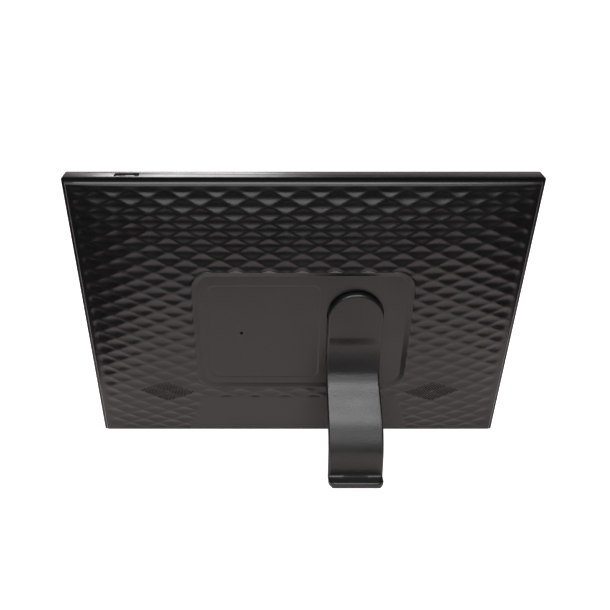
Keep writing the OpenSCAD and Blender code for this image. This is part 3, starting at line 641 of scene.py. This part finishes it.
class StandShape:
    """Side view of the stand: its outer line and the thickness behind every point of it."""

    # Bends as shares of the way out and of the way down, from the disc's face to the lip
    BENDS = ((-0.1, 0.1), (-0.1, 0.24), (0, 0.37), (0.37, 0.49), (0.77, 0.62), (0.98, 0.78), (1, 0.92))

    def __init__(self, sizes):
        self.s = sizes
        self.stations = self.side_view()
        self.along = [0.0]
        for before, after in zip(self.stations, self.stations[1:]):
            self.along.append(self.along[-1] + (after[0] - before[0]).length)
        self.total = self.along[-1]

    def on_panel(self, level, height):
        return PANEL @ Vector((0, level, height))

    def inner(self, p, ahead):
        """Point behind an outer point, kept clear of the cover."""
        q = PANEL.inverted() @ (p + self.s.thickness * Vector((0, ahead.z, -ahead.y)))
        over_dish = PIVOT.z - q.z < DISH_REACH
        clear = (DISH_FLOOR if over_dish else COVER_TOP) + self.s.clearance
        return PANEL @ Vector((0, max(q.y, clear), q.z))

    def side_view(self):
        s = self.s
        top = self.on_panel(s.face_level, PIVOT.z + s.disc_radius)
        bend = self.on_panel(s.face_level, PIVOT.z - BEND_DROP)
        start = self.on_panel(s.face_level, PIVOT.z - FACE_DROP)
        lip_top = Vector((0, PANEL_ORIGIN.y + s.reach - s.lip, s.lip_height))
        stations = []
        behind = self.on_panel(DISH_FLOOR + s.clearance, 0) - self.on_panel(s.face_level, 0)
        for i in range(FACE_STEPS):
            p = top.lerp(start, i / FACE_STEPS)
            stations.append((p, p + behind))
        bends = [bend + Vector((0, out * (lip_top.y - bend.y), down * (lip_top.z - bend.z)))
                 for out, down in self.BENDS]
        line = smooth_line([start, bend] + bends + [lip_top], 10)
        for i, p in enumerate(line):
            if p.z < s.lip_height + 1.2 * MM:
                break
            ahead = (line[i + 1] - line[max(i - 1, 0)]).normalized()
            inside = self.inner(p, ahead)
            stations.append((p, Vector((0, inside.y, max(inside.z, s.sole_height)))))
        sole = Vector((0, lip_top.y - s.thickness, s.sole_height))
        tip = Vector((0, lip_top.y + s.lip, s.sole_height))
        dip, fillet = 0.5 * MM, 0.9 * MM
        for i in range(5):
            a = math.radians(90) * i / 4
            p = lip_top + Vector((0, fillet * (1 - math.cos(a)), fillet * (1 - math.sin(a)) - dip))
            stations.append((p, sole.lerp(tip, 0.02 * i)))
        for i in range(1, 11):
            share = i / 10
            p = lip_top + Vector((0, fillet + (s.lip - fillet) * share, dip * (share * share - 1)))
            stations.append((p, sole.lerp(tip, 0.08 + 0.92 * share)))
        return stations

    def at(self, distance):
        """Outer and inner point at a distance along the outer line."""
        for i in range(1, len(self.along)):
            if distance <= self.along[i] or i == len(self.along) - 1:
                t = (distance - self.along[i - 1]) / (self.along[i] - self.along[i - 1])
                t = clamp(t, 0, 1)
                before, after = self.stations[i - 1], self.stations[i]
                return before[0].lerp(after[0], t), before[1].lerp(after[1], t)

    def ends(self, x):
        """How far the outline is drawn in at the disc and at the lip, at one place across."""
        s = self.s
        disc = s.disc_radius - math.sqrt(max(s.disc_radius ** 2 - x * x, 0))
        over = max(abs(x) - s.disc_radius + s.corner_radius, 0)
        lip = s.corner_radius - math.sqrt(max(s.corner_radius ** 2 - over * over, 0))
        return disc, lip

    def to_edge(self, x, distance):
        """Distance from the nearest side of the outline."""
        s = self.s
        if distance < s.disc_radius:
            return s.disc_radius - math.hypot(x, s.disc_radius - distance)
        qx = abs(x) - s.disc_radius + s.corner_radius
        qz = distance - self.total + s.corner_radius
        outside = math.hypot(max(qx, 0), max(qz, 0))
        return s.corner_radius - outside - min(max(qx, qz), 0)


def end_weighted(i, count, reach, fine):
    """Places along a line, close together within a reach of both ends."""
    if i <= fine:
        return reach * (1 - math.cos(math.radians(90) * i / fine))
    if i >= count - fine:
        return 1 - reach * (1 - math.cos(math.radians(90) * (count - i) / fine))
    return reach + (1 - 2 * reach) * (i - fine) / (count - 2 * fine)


def stand_shell(shape, columns, rows, under):
    """One face of the stand as a grid; its edges are rounded over."""
    s = shape.s
    bm = bmesh.new()
    bmesh.ops.create_grid(bm, x_segments=columns, y_segments=rows, size=0.5)
    radius = 0.5 * MM if under else s.edge_radius
    for v in bm.verts:
        row = round((v.co.y + 0.5) * rows)
        x = s.disc_radius * math.sin(math.pi * v.co.x)
        start, short = shape.ends(x)
        span = shape.total - start - short
        distance = start + span * end_weighted(row, rows, 2 * s.edge_radius / shape.total, 7)
        outer, inner = shape.at(distance)
        short = clamp(radius - shape.to_edge(x, distance), 0, radius)
        drop = radius - math.sqrt(radius ** 2 - short ** 2)
        across = (inner - outer).normalized()
        place = inner - across * drop if under else outer + across * drop
        v.co = Vector((PIVOT.x + x, place.y, place.z))
    return bm


def stand_mesh(shape):
    """Both faces of the stand joined along their edge, and the disc's lower rim."""
    s = shape.s
    bm = stand_shell(shape, COLUMNS, ROWS, False)
    under = stand_shell(shape, COLUMNS, ROWS, True)
    lower = bpy.data.meshes.new("stand_underside")
    under.to_mesh(lower)
    under.free()
    bm.from_mesh(lower)
    bpy.data.meshes.remove(lower)
    bmesh.ops.bridge_loops(bm, edges=[e for e in bm.edges if e.is_boundary])
    deep = s.face_level - s.disc_level - 1.4 * MM
    middle = PANEL @ Vector((PIVOT.x, s.disc_level + deep / 2, PIVOT.z))
    turn = (PANEL.to_3x3() @ Matrix.Rotation(math.radians(-90), 3, "X")).to_4x4()
    radius = s.disc_radius - 0.1 * MM
    bmesh.ops.create_cone(bm, cap_ends=True, segments=96, radius1=radius, radius2=radius, depth=deep,
                          matrix=Matrix.Translation(middle) @ turn)
    bmesh.ops.recalc_face_normals(bm, faces=bm.faces)
    return bm


class PHOTO_FRAME_OT_stand(bpy.types.Operator):
    """Model the stand: a disc that runs over into a swept arm with a lipped foot"""

    bl_idname = "photo_frame.stand"
    bl_label = "Stand"

    def execute(self, context):
        settings = context.scene.photo_frame
        plastic = moulded_plastic("stand_plastic", settings.finish.stand, 0.36, 1.2 * MM, 0.12 * MM)
        shape = StandShape(settings.stand)
        stand = add_object("swept_stand", stand_mesh(shape), plastic, math.radians(50))
        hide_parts("stand")
        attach(stand, "stand")
        return {"FINISHED"}


# ---------------------------------------------------------------- screen and inner pieces

def set_finish(node, material):
    """Gives a CAD node its material."""
    slots = frame["nodes"][node].data.materials
    slots.clear()
    slots.append(material)


def touch_glass_finish(finish, lit_w, lit_h):
    """Polished glass: a black printed border round the slightly greyer unlit display."""
    made = Nodes("touch_glass")
    axes = made.tree.nodes.new("ShaderNodeSeparateXYZ")
    made.link(made.place, axes.inputs[0])
    middle = PANEL @ Vector((0, -RIM_DEPTH, FRAME_H / 2))
    inside = None
    for axis, centre, half in (("X", 0, lit_w / 2), ("Z", middle.z, lit_h / 2 * math.cos(LEAN))):
        near = made.tree.nodes.new("ShaderNodeMath")
        near.operation = "COMPARE"
        near.inputs[1].default_value = centre
        near.inputs[2].default_value = half
        made.link(axes.outputs[axis], near.inputs[0])
        if inside is not None:
            both = made.tree.nodes.new("ShaderNodeMath")
            both.operation = "MULTIPLY"
            made.link(inside, both.inputs[0])
            made.link(near.outputs[0], both.inputs[1])
            near = both
        inside = near.outputs[0]
    made.tint(inside, finish.glass, finish.screen)
    made.roughness(made.spread(made.noise(20, 4), 0.3, 0.7, 0.04, 0.09))
    made.set(IOR=1.5)
    return made.material


class PHOTO_FRAME_OT_screen(bpy.types.Operator):
    """Give the glass, the display and the pads their finishes"""

    bl_idname = "photo_frame.screen"
    bl_label = "Screen and pads"

    def execute(self, context):
        finish = context.scene.photo_frame.finish
        set_finish("touch_glass", touch_glass_finish(finish, 216.96 * MM, 135.6 * MM))
        set_finish("lcd_panel", plain_finish("unlit_display", tuple(finish.screen), 0.3))
        rubber = soft_rubber("pad_rubber", finish.rubber)
        for node in ("foot_pad", "base_pads"):
            set_finish(node, rubber)
        return {"FINISHED"}


class PHOTO_FRAME_OT_inner_pieces(bpy.types.Operator):
    """Give every inner piece the finish of its material slot"""

    bl_idname = "photo_frame.inner_pieces"
    bl_label = "Inner pieces"

    def execute(self, context):
        record = frame["record"]
        slots = {m["slot"]: m for m in record["materials"]}
        done = {"rear_cover", "front_bezel", "power_button", "stand", "touch_glass", "lcd_panel",
                "foot_pad", "base_pads"}
        made = {}
        for part in record["subparts"]:
            node = part["node"]
            if node in done:
                continue
            slot = slots[part["material_slot"]]
            base = tuple(slot["base_color"][:3])
            if slot["slot"] not in made:
                metal = slot["class"] in ("brushed_steel", "aluminium", "chrome")
                make = sheet_metal if metal else plain_finish
                made[slot["slot"]] = make(slot["slot"], base, 0.3 if metal else 0.5)
            set_finish(node, made[slot["slot"]])
        return {"FINISHED"}


# ---------------------------------------------------------------- stage

def softbox(name, place, target, width, depth, strength):
    """A rectangular area lamp of a given radiance, aimed at a point."""
    lamp = bpy.data.lights.new(name, "AREA")
    lamp.shape = "RECTANGLE"
    lamp.size = width
    lamp.size_y = depth
    lamp.energy = strength * math.pi * width * depth
    holder = bpy.data.objects.new(name, lamp)
    holder.location = place
    holder.rotation_euler = (Vector(target) - Vector(place)).to_track_quat("-Z", "Y").to_euler()
    bpy.context.scene.collection.objects.link(holder)


def seen_white(tree, shader, camera, gloss, colour):
    """Adds light to a shader: one strength for camera rays, another for gloss and clear pieces."""
    path = tree.nodes.new("ShaderNodeLightPath")
    rays = ("Is Camera Ray", camera), ("Is Glossy Ray", gloss), ("Is Transmission Ray", gloss)
    for ray, strength in rays:
        glow = tree.nodes.new("ShaderNodeEmission")
        glow.inputs["Color"].default_value = (*colour, 1) if ray != "Is Camera Ray" else (1, 1, 1, 1)
        scale = tree.nodes.new("ShaderNodeMath")
        scale.operation = "MULTIPLY"
        scale.inputs[1].default_value = strength
        tree.links.new(path.outputs[ray], scale.inputs[0])
        tree.links.new(scale.outputs[0], glow.inputs["Strength"])
        both = tree.nodes.new("ShaderNodeAddShader")
        tree.links.new(shader, both.inputs[0])
        tree.links.new(glow.outputs[0], both.inputs[1])
        shader = both.outputs[0]
    return shader


def floor_finish():
    material = bpy.data.materials.new("white_table")
    material.use_nodes = True
    tree = material.node_tree
    shader = tree.nodes["Principled BSDF"]
    shader.inputs["Base Color"].default_value = (0.8, 0.71, 0.7, 1)
    shader.inputs["Roughness"].default_value = 0.9
    out = tree.nodes["Material Output"]
    tree.links.new(seen_white(tree, shader.outputs[0], 0.97, 0.26, (1, 0.86, 0.84)), out.inputs["Surface"])
    return material


def sweep():
    """A table that curves up into a backdrop behind the screen side, and a narrower leaf behind the stand."""
    near, far, top, bend = -0.02, -1.6, 1.8, 0.5
    leaf_right, leaf_left, leaf_end = -0.21, 0.165, 0.17
    bm = bmesh.new()
    turns = 12
    outline = [Vector((0, near, 0)), Vector((0, far + bend, 0))]
    for i in range(1, turns + 1):
        a = math.radians(90) * i / turns
        outline.append(Vector((0, far + bend - bend * math.sin(a), bend - bend * math.cos(a))))
    outline.append(Vector((0, far, top)))
    points = [bm.verts.new(p - Vector((3, 0, 0))) for p in outline]
    line = [bm.edges.new(pair) for pair in zip(points, points[1:])]
    made = bmesh.ops.extrude_edge_only(bm, edges=line)
    for v in made["geom"]:
        if isinstance(v, bmesh.types.BMVert):
            v.co.x += 6
    leaf = bmesh.ops.create_grid(bm, x_segments=1, y_segments=1, size=0.5)["verts"]
    for v in leaf:
        across, out = v.co.x + 0.5, v.co.y + 0.5
        v.co = Vector((leaf_right + (leaf_left - leaf_right) * across, near + (leaf_end - near) * out, 0))
    return add_object("table", bm, floor_finish())


class PHOTO_FRAME_OT_stage(bpy.types.Operator):
    """Set the table, the lamps, the world and the camera"""

    bl_idname = "photo_frame.stage"
    bl_label = "Stage"

    def execute(self, context):
        stage = context.scene.photo_frame.stage
        table = sweep()
        strength = stage.softbox_strength
        target = (0, 0, 0.08)
        for name, rise, width, depth, share in (
                ("overhead", 76, 1.2, 0.55, 1.0), ("overhead_edge", 50, 1.2, 0.5, 0.45),
                ("overhead_fall", 22, 1.2, 0.4, 0.52)):
            a = math.radians(rise)
            place = (0.1, 1.25 * math.cos(a), 0.08 + 1.25 * math.sin(a))
            softbox(name, place, target, width, depth, share * strength)
        softbox("far_side", (0.20, -0.98, 0.86), target, 0.34, 0.3, 1.1 * strength)
        self.world(context.scene)
        self.camera(context.scene, stage)
        context.scene.view_settings.view_transform = "Standard"
        return {"FINISHED"}

    @staticmethod
    def world(scene):
        world = bpy.data.worlds.new("studio")
        world.use_nodes = True
        scene.world = world
        tree = world.node_tree
        room = tree.nodes["Background"]
        room.inputs["Color"].default_value = (0.05, 0.05, 0.055, 1)
        white = tree.nodes.new("ShaderNodeBackground")
        white.inputs["Color"].default_value = (1, 1, 1, 1)
        mix = tree.nodes.new("ShaderNodeMixShader")
        path = tree.nodes.new("ShaderNodeLightPath")
        tree.links.new(path.outputs["Is Camera Ray"], mix.inputs[0])
        tree.links.new(room.outputs[0], mix.inputs[1])
        tree.links.new(white.outputs[0], mix.inputs[2])
        tree.links.new(mix.outputs[0], tree.nodes["World Output"].inputs["Surface"])

    @staticmethod
    def camera(scene, stage):
        data = bpy.data.cameras.new("camera")
        data.sensor_width = 36
        data.lens = stage.focal_length
        data.shift_x = stage.lens_shift
        camera = bpy.data.objects.new("camera", data)
        camera.location = PANEL @ Vector((stage.camera_x, stage.camera_out, stage.camera_up))
        camera.rotation_euler = (math.radians(90) - stage.camera_pitch, 0, math.radians(180))
        scene.collection.objects.link(camera)
        scene.camera = camera


OPERATORS = (
    PHOTO_FRAME_OT_rear_cover, PHOTO_FRAME_OT_bezel, PHOTO_FRAME_OT_stand, PHOTO_FRAME_OT_screen,
    PHOTO_FRAME_OT_inner_pieces, PHOTO_FRAME_OT_stage)


class PHOTO_FRAME_PT_panel(bpy.types.Panel):
    """Lists the steps that make the photo frame"""

    bl_label = "Photo frame"
    bl_space_type = "VIEW_3D"
    bl_region_type = "UI"
    bl_category = "Photo frame"

    def draw(self, context):
        for operator in OPERATORS:
            self.layout.operator(operator.bl_idname)


CLASSES = (CoverSettings, StandSettings, FinishSettings, StageSettings, FrameSettings,
           *OPERATORS, PHOTO_FRAME_PT_panel)


def register():
    for item in CLASSES:
        bpy.utils.register_class(item)
    bpy.types.Scene.photo_frame = PointerProperty(type=FrameSettings)


def unregister():
    del bpy.types.Scene.photo_frame
    for item in reversed(CLASSES):
        bpy.utils.unregister_class(item)


def main():
    register()
    for operator in OPERATORS:
        group, name = operator.bl_idname.split(".")
        getattr(getattr(bpy.ops, group), name)()


if __name__ == "__main__":
    main()
